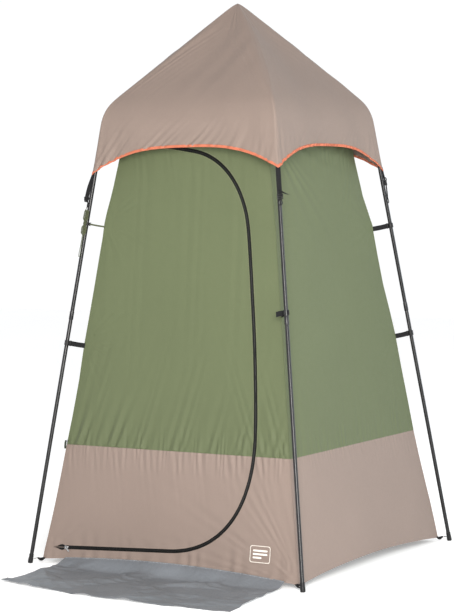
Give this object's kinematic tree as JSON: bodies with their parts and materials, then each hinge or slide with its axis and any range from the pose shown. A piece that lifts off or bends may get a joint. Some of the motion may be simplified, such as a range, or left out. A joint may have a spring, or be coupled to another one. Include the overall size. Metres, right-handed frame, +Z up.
{
  "type": "privacy shower tent",
  "caption": "Square booth of fabric walls hung in a splayed steel pole frame under a pyramid canopy, with a zipped D-shaped door and a ground flap.",
  "frame": {"origin": "on the ground, in the middle of the whole object's box, so the tent's own vertical axis stands 0.2097 m behind it because the ground flap lies in front of the door", "axes": "+Z up, -Y out of the door, +X to the right seen from in front of the door"},
  "size_m": [1.2212, 1.6406, 2.1386],
  "materials": {
    "canopy_fabric": "matt coated polyester, taupe",
    "green_fabric": "matt polyester, sage green",
    "taupe_fabric": "matt coated polyester, light taupe",
    "orange_binding": "woven edge binding, orange",
    "pole_steel": "gloss black painted steel tube",
    "black_plastic": "moulded, fine texture",
    "webbing": "black polypropylene webbing",
    "zip_black": "black coil zip on woven tape",
    "bright_steel": "bright nickel plate",
    "flap_sheet": "grey coated sheet, slightly glossy, crinkled",
    "label_fabric": "pale woven patch",
    "guy_cord": "braided olive cord"
  },
  "bodies": {
    "root": {"apex_hub": "black_plastic", "base_tab_back_left": "webbing", "base_tab_back_right": "webbing", "base_tab_front_left": "webbing", "base_tab_front_right": "webbing", "canopy_back": "canopy_fabric", "canopy_front": "canopy_fabric", "canopy_left": "canopy_fabric", "canopy_piping": "orange_binding", "canopy_right": "canopy_fabric", "foot_cap_back_left": "black_plastic", "foot_cap_back_right": "black_plastic", "foot_cap_front_left": "black_plastic", "foot_cap_front_right": "black_plastic", "front_wall_lower": "taupe_fabric", "front_wall_upper": "green_fabric", "guy_rope_hank": "guy_cord", "hem_strap_back_left": "webbing", "hem_strap_back_right": "webbing", "hem_strap_front_left": "webbing", "hem_strap_front_right": "webbing", "label_patch": "label_fabric", "leg_lower_back_left": "pole_steel", "leg_lower_back_right": "pole_steel", "leg_lower_front_left": "pole_steel", "leg_lower_front_right": "pole_steel", "leg_strap_lower_back_left": "webbing", "leg_strap_lower_back_right": "webbing", "leg_strap_lower_front_left": "webbing", "leg_strap_lower_front_right": "webbing", "leg_strap_upper_back_left": "webbing", "leg_strap_upper_back_right": "webbing", "leg_strap_upper_front_left": "webbing", "leg_upper_back_left": "pole_steel", "leg_upper_back_right": "pole_steel", "leg_upper_front_left": "pole_steel", "leg_upper_front_right": "pole_steel", "ring_pin_back_left": "bright_steel", "ring_pin_back_right": "bright_steel", "ring_pin_front_left": "bright_steel", "ring_pin_front_right": "bright_steel", "roof_pole_back_left": "pole_steel", "roof_pole_back_right": "pole_steel", "roof_pole_front_left": "pole_steel", "roof_pole_front_right": "pole_steel", "toggle_loop": "webbing", "wall_back_lower": "taupe_fabric", "wall_back_upper": "green_fabric", "wall_left_lower": "taupe_fabric", "wall_left_upper": "green_fabric", "wall_right_lower": "taupe_fabric", "wall_right_upper": "green_fabric", "zip_tape_frame": "zip_black"},
    "door": {"door_lower": "taupe_fabric", "door_upper": "green_fabric", "zip_tape_door": "zip_black"},
    "zip_slider_body": {"zip_slider": "bright_steel"},
    "zip_pull_body": {"zip_pull": "bright_steel"},
    "flap": {"ground_flap": "flap_sheet"},
    "toggle": {"door_toggle": "black_plastic"}
  },
  "joints": [
    {"name": "door_swing", "type": "hinge", "parent": "root", "child": "door", "pos_m": [-0.51684, -0.34566, 0.06228], "axis": [0.1435, 0.1435, 0.9792], "range_deg": [0, 85]},
    {"name": "zip_run", "type": "slide", "parent": "root", "child": "zip_slider_body", "axis": [0.9988, 0.0072, 0.0493], "range_m": [-0.045, 0.42]},
    {"name": "zip_pull_flip", "type": "hinge", "parent": "zip_slider_body", "child": "zip_pull_body", "pos_m": [-0.455, -0.356, 0.06691], "axis": [-0.671, -0.1075, -0.7336], "range_deg": [0, 150]},
    {"name": "flap_lift", "type": "hinge", "parent": "root", "child": "flap", "pos_m": [0, -0.3563, 0.034], "axis": [-1, 0, 0], "range_deg": [0, 85]},
    {"name": "toggle_swing", "type": "hinge", "parent": "root", "child": "toggle", "pos_m": [-0.48788, -0.30005, 0.46674], "axis": [-1, 0, 0], "range_deg": [-5, 110]}
  ]
}
